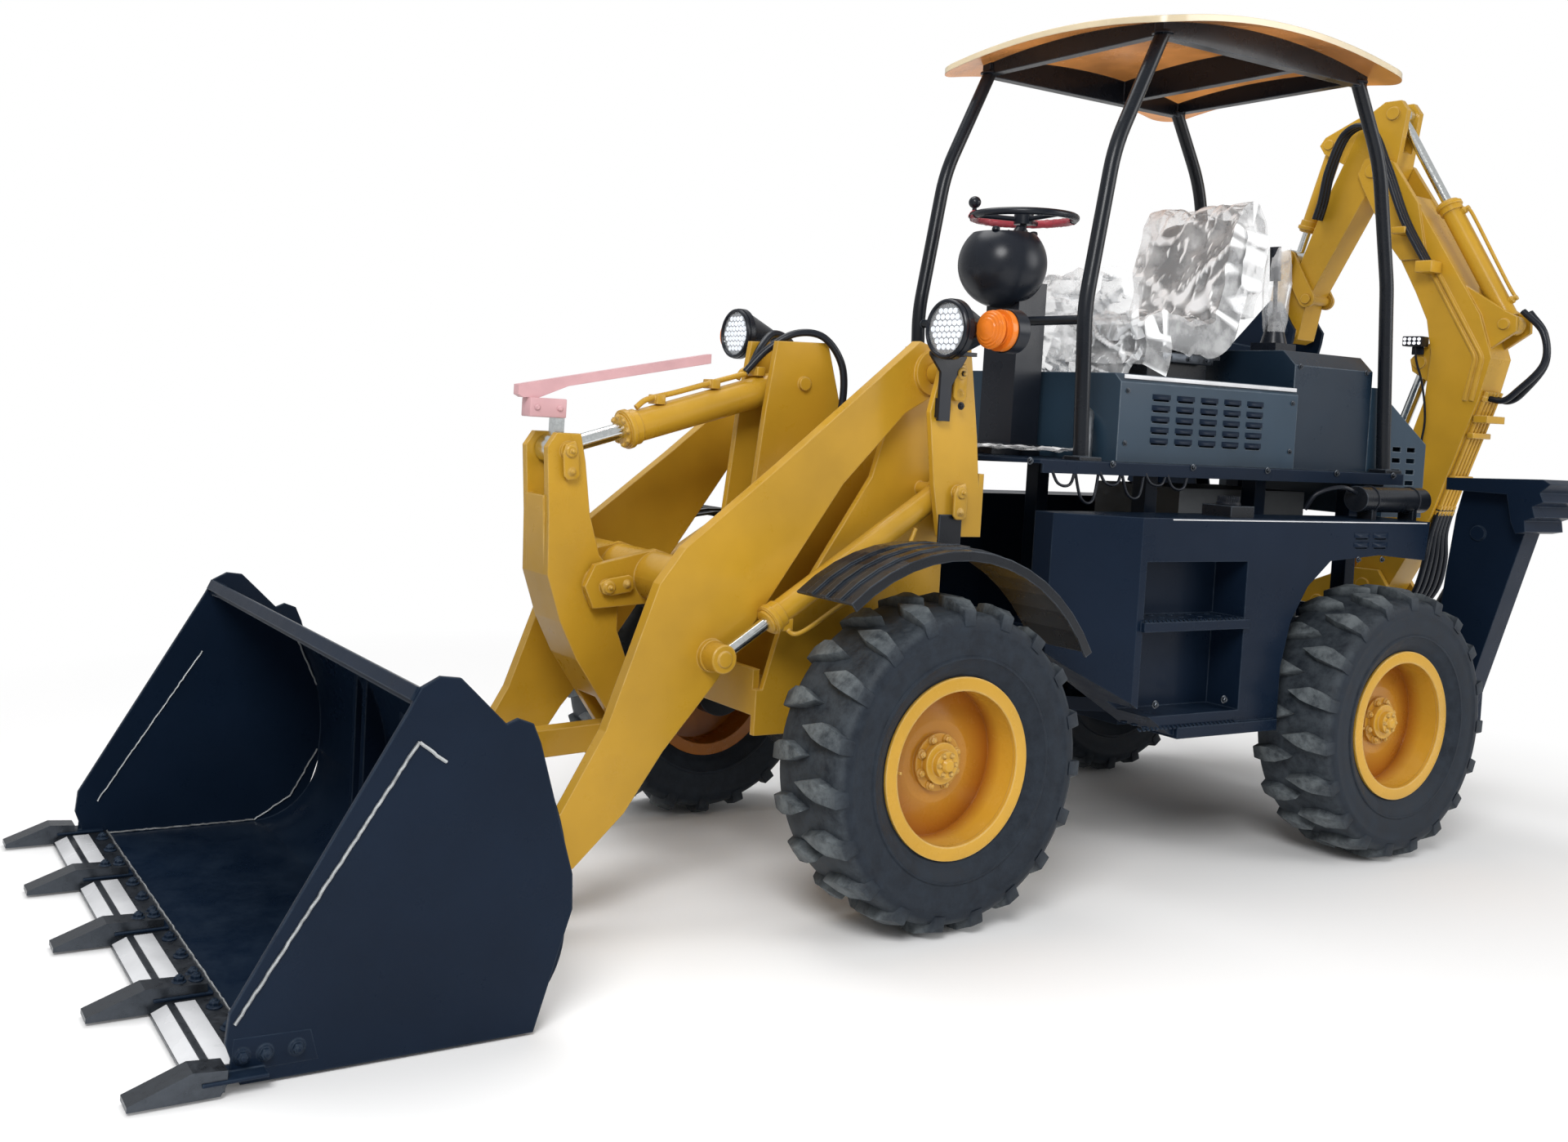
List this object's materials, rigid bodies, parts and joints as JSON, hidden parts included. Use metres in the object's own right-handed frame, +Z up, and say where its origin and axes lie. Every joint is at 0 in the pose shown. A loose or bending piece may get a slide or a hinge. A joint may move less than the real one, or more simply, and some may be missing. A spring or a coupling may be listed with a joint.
{
  "type": "backhoe loader",
  "caption": "Small centre-hinged backhoe loader with a toothed front bucket, an open canopy seat, stabilisers and a swinging digging arm at the back.",
  "frame": {"origin": "bottom centre of the bounding box, on the ground midway between the bucket teeth and the swing post", "axes": "+X forward to the loader bucket, +Y to the operator's left, +Z up"},
  "size_m": [5.69, 1.956, 3.005],
  "materials": {
    "yellow_paint": "gloss",
    "navy_paint": "gloss",
    "black_paint": "satin",
    "slate_paint": "satin",
    "cream_paint": "gloss",
    "rim_paint": "gloss",
    "tyre_rubber": "matte",
    "rod_chrome": "polished",
    "black_plastic": "gloss",
    "lamp_glass": "clear",
    "amber_plastic": "gloss",
    "seat_vinyl": "satin",
    "edge_steel": "worn",
    "engine_iron": "matte",
    "wrap_film": "gloss"
  },
  "bodies": {
    "rear_body": {"rear_frame": "navy_paint", "rear_axle": "black_paint", "rear_carrier": "navy_paint", "engine": "engine_iron", "deck": "navy_paint", "side_tank_left": "navy_paint", "side_tank_right": "navy_paint", "side_fittings": "black_paint", "low_hood": "slate_paint", "tall_hood": "slate_paint", "rear_guard": "slate_paint", "dash_column": "black_plastic", "seat_base": "black_paint", "seat": "seat_vinyl", "control_lever": "black_plastic", "canopy_frame": "black_paint", "canopy_roof": "cream_paint"},
    "steering_wheel": {"steering_wheel": "black_plastic"},
    "front_body": {"front_frame": "yellow_paint", "front_axle": "black_paint", "fenders": "black_paint", "lamp_pods": "black_plastic", "lamp_lenses": "lamp_glass", "indicators": "amber_plastic"},
    "loader_arms": {"loader_arms": "yellow_paint"},
    "bell_crank": {"bell_crank": "yellow_paint"},
    "bucket_link": {"bucket_link": "yellow_paint"},
    "loader_bucket": {"loader_bucket": "navy_paint", "bucket_edge": "edge_steel"},
    "lift_barrels": {"lift_barrels": "yellow_paint"},
    "lift_rods": {"lift_rods": "rod_chrome"},
    "tilt_barrel": {"tilt_barrel": "yellow_paint"},
    "tilt_rod": {"tilt_rod": "rod_chrome", "level_rod": "wrap_film"},
    "swing_post": {"swing_post": "yellow_paint"},
    "boom": {"boom": "yellow_paint"},
    "dipper": {"dipper": "yellow_paint"},
    "rocker": {"rocker": "yellow_paint"},
    "dig_link": {"dig_link": "yellow_paint"},
    "dig_bucket": {"dig_bucket": "navy_paint"},
    "boom_barrel": {"boom_barrel": "yellow_paint"},
    "boom_rod": {"boom_rod": "rod_chrome"},
    "dipper_barrel": {"dipper_barrel": "yellow_paint"},
    "dipper_rod": {"dipper_rod": "rod_chrome"},
    "dig_barrel": {"dig_barrel": "yellow_paint"},
    "dig_rod": {"dig_rod": "rod_chrome"},
    "stabiliser_left": {"stabiliser_left": "navy_paint"},
    "leg_barrel_left": {"leg_barrel_left": "black_paint"},
    "leg_rod_left": {"leg_rod_left": "rod_chrome"},
    "wheel_front_left": {"tyre_front_left": "tyre_rubber", "rim_front_left": "rim_paint"},
    "wheel_rear_left": {"tyre_rear_left": "tyre_rubber", "rim_rear_left": "rim_paint"},
    "stabiliser_right": {"stabiliser_right": "navy_paint"},
    "leg_barrel_right": {"leg_barrel_right": "black_paint"},
    "leg_rod_right": {"leg_rod_right": "rod_chrome"},
    "wheel_front_right": {"tyre_front_right": "tyre_rubber", "rim_front_right": "rim_paint"},
    "wheel_rear_right": {"tyre_rear_right": "tyre_rubber", "rim_rear_right": "rim_paint"}
  },
  "joints": [
    {"name": "articulation", "type": "hinge", "parent": "rear_body", "child": "front_body", "pos_m": [-0.555, 0, 0.62], "axis": [0, 0, 1], "range_deg": [-30, 30]},
    {"name": "wheel_front_left", "type": "hinge", "parent": "front_body", "child": "wheel_front_left", "pos_m": [0.505, 0.65, 0.49], "axis": [0, 1, 0], "continuous": true},
    {"name": "wheel_rear_left", "type": "hinge", "parent": "rear_body", "child": "wheel_rear_left", "pos_m": [-1.615, 0.65, 0.49], "axis": [0, 1, 0], "continuous": true},
    {"name": "wheel_front_right", "type": "hinge", "parent": "front_body", "child": "wheel_front_right", "pos_m": [0.505, -0.65, 0.49], "axis": [0, 1, 0], "continuous": true},
    {"name": "wheel_rear_right", "type": "hinge", "parent": "rear_body", "child": "wheel_rear_right", "pos_m": [-1.615, -0.65, 0.49], "axis": [0, 1, 0], "continuous": true},
    {"name": "steering_wheel", "type": "hinge", "parent": "rear_body", "child": "steering_wheel", "pos_m": [-0.375, 0, 2.238], "axis": [0, 0, 1], "continuous": true},
    {"name": "loader_arm", "type": "hinge", "parent": "front_body", "child": "loader_arms", "pos_m": [0.315, 0, 1.64], "axis": [0, -1, 0], "range_deg": [0, 76]},
    {"name": "bucket", "type": "hinge", "parent": "loader_arms", "child": "loader_bucket", "pos_m": [1.675, 0, 0.205], "axis": [0, 1, 0], "range_deg": [-25, 75]},
    {"name": "bell_crank", "type": "hinge", "parent": "loader_arms", "child": "bell_crank", "pos_m": [1.335, 0, 0.94], "axis": [0, -1, 0], "range_deg": [-8.29, 24.82]},
    {"name": "bucket_link", "type": "hinge", "parent": "bell_crank", "child": "bucket_link", "pos_m": [1.145, 0, 0.47], "axis": [0, -1, 0], "range_deg": [-34.97, 11.67]},
    {"name": "lift_swing", "type": "hinge", "parent": "front_body", "child": "lift_barrels", "pos_m": [0.285, 0, 1.27], "axis": [0, -1, 0], "range_deg": [-0.02, 74.63]},
    {"name": "lift_stroke", "type": "slide", "parent": "lift_barrels", "child": "lift_rods", "axis": [0.8486, 0, -0.5291], "range_m": [-0.0001, 0.47667]},
    {"name": "tilt_swing", "type": "hinge", "parent": "front_body", "child": "tilt_barrel", "pos_m": [0.625, 0, 1.585], "axis": [0, -1, 0], "range_deg": [-0.02, 93.11]},
    {"name": "tilt_stroke", "type": "slide", "parent": "tilt_barrel", "child": "tilt_rod", "axis": [0.9604, 0, -0.2785], "range_m": [-0.0001, 0.1504]},
    {"name": "swing", "type": "hinge", "parent": "rear_body", "child": "swing_post", "pos_m": [-2.695, 0, 0.65], "axis": [0, 0, -1], "range_deg": [0, 190]},
    {"name": "boom", "type": "hinge", "parent": "swing_post", "child": "boom", "pos_m": [-2.69064, -0.04981, 0.88], "axis": [0.9962, 0.0872, 0], "range_deg": [0, 95]},
    {"name": "dipper", "type": "hinge", "parent": "boom", "child": "dipper", "pos_m": [-2.68193, -0.14943, 2.7], "axis": [-0.9962, -0.0872, 0], "range_deg": [0, 90]},
    {"name": "dig_bucket", "type": "hinge", "parent": "dipper", "child": "dig_bucket", "pos_m": [-2.65142, -0.4981, 1.99], "axis": [-0.9962, -0.0872, 0], "range_deg": [-115, 40]},
    {"name": "rocker", "type": "hinge", "parent": "dipper", "child": "rocker", "pos_m": [-2.65805, -0.42239, 2.144], "axis": [-0.9962, -0.0872, 0], "range_deg": [-70.89, 24.67]},
    {"name": "dig_link", "type": "hinge", "parent": "rocker", "child": "dig_link", "pos_m": [-2.64898, -0.52599, 2.334], "axis": [-0.9962, -0.0872, 0], "range_deg": [-17.81, 51.17]},
    {"name": "boom_cylinder_swing", "type": "hinge", "parent": "swing_post", "child": "boom_barrel", "pos_m": [-2.67321, -0.24905, 0.78], "axis": [-0.9962, -0.0872, 0], "range_deg": [-93.13, 0.02]},
    {"name": "boom_cylinder_stroke", "type": "slide", "parent": "boom_barrel", "child": "boom_rod", "axis": [-0.0269, 0.3071, 0.9513], "range_m": [-0.3293, 0.0001]},
    {"name": "dipper_cylinder_swing", "type": "hinge", "parent": "boom", "child": "dipper_barrel", "pos_m": [-2.73248, 0.42836, 2.02], "axis": [-0.9962, -0.0872, 0], "range_deg": [-0.02, 4.86]},
    {"name": "dipper_cylinder_stroke", "type": "slide", "parent": "dipper_barrel", "child": "dipper_rod", "axis": [0.0425, -0.4862, 0.8728], "range_m": [-0.35234, 0.0001]},
    {"name": "dig_cylinder_swing", "type": "hinge", "parent": "dipper", "child": "dig_barrel", "pos_m": [-2.66188, -0.37855, 2.845], "axis": [-0.9962, -0.0872, 0], "range_deg": [-2.6, 7.45]},
    {"name": "dig_cylinder_stroke", "type": "slide", "parent": "dig_barrel", "child": "dig_rod", "axis": [0.0242, -0.2771, -0.9605], "range_m": [-0.08402, 0.24137]},
    {"name": "stabiliser_left", "type": "hinge", "parent": "rear_body", "child": "stabiliser_left", "pos_m": [-2.195, 0.62, 0.5], "axis": [-1, 0, 0], "range_deg": [0, 105]},
    {"name": "leg_cylinder_left_swing", "type": "hinge", "parent": "rear_body", "child": "leg_barrel_left", "pos_m": [-2.195, 0.44, 0.66], "axis": [-1, 0, 0], "range_deg": [-0.02, 93.3]},
    {"name": "leg_cylinder_left_stroke", "type": "slide", "parent": "leg_barrel_left", "child": "leg_rod_left", "axis": [0, 0.4333, 0.9013], "range_m": [-0.0001, 0.36877]},
    {"name": "stabiliser_right", "type": "hinge", "parent": "rear_body", "child": "stabiliser_right", "pos_m": [-2.195, -0.62, 0.5], "axis": [1, 0, 0], "range_deg": [0, 105]},
    {"name": "leg_cylinder_right_swing", "type": "hinge", "parent": "rear_body", "child": "leg_barrel_right", "pos_m": [-2.195, -0.44, 0.66], "axis": [1, 0, 0], "range_deg": [-0.02, 93.3]},
    {"name": "leg_cylinder_right_stroke", "type": "slide", "parent": "leg_barrel_right", "child": "leg_rod_right", "axis": [0, -0.4333, 0.9013], "range_m": [-0.0001, 0.36877]}
  ],
  "couplings": [
    {"joint": "bell_crank", "follows": "bucket", "ratio": 0.33},
    {"joint": "bucket_link", "follows": "bucket", "ratio": -0.465},
    {"joint": "lift_swing", "follows": "loader_arm", "ratio": 0.97972},
    {"joint": "lift_stroke", "follows": "loader_arm", "m_per_rad": 0.35856},
    {"joint": "tilt_swing", "follows": "loader_arm", "ratio": 1.2224},
    {"joint": "tilt_stroke", "follows": "loader_arm", "m_per_rad": 0.11308},
    {"joint": "rocker", "follows": "dig_bucket", "ratio": 0.61505},
    {"joint": "dig_link", "follows": "dig_bucket", "ratio": -0.44391},
    {"joint": "boom_cylinder_swing", "follows": "boom", "ratio": -0.9781},
    {"joint": "boom_cylinder_stroke", "follows": "boom", "m_per_rad": -0.19815},
    {"joint": "dipper_cylinder_swing", "follows": "dipper", "ratio": 0.05369},
    {"joint": "dipper_cylinder_stroke", "follows": "dipper", "m_per_rad": -0.2238},
    {"joint": "dig_cylinder_swing", "follows": "dig_bucket", "ratio": -0.0645},
    {"joint": "dig_cylinder_stroke", "follows": "dig_bucket", "m_per_rad": -0.11997},
    {"joint": "leg_cylinder_left_swing", "follows": "stabiliser_left", "ratio": 0.88664},
    {"joint": "leg_cylinder_left_stroke", "follows": "stabiliser_left", "m_per_rad": 0.20077},
    {"joint": "leg_cylinder_right_swing", "follows": "stabiliser_right", "ratio": 0.88664},
    {"joint": "leg_cylinder_right_stroke", "follows": "stabiliser_right", "m_per_rad": 0.20077}
  ]
}
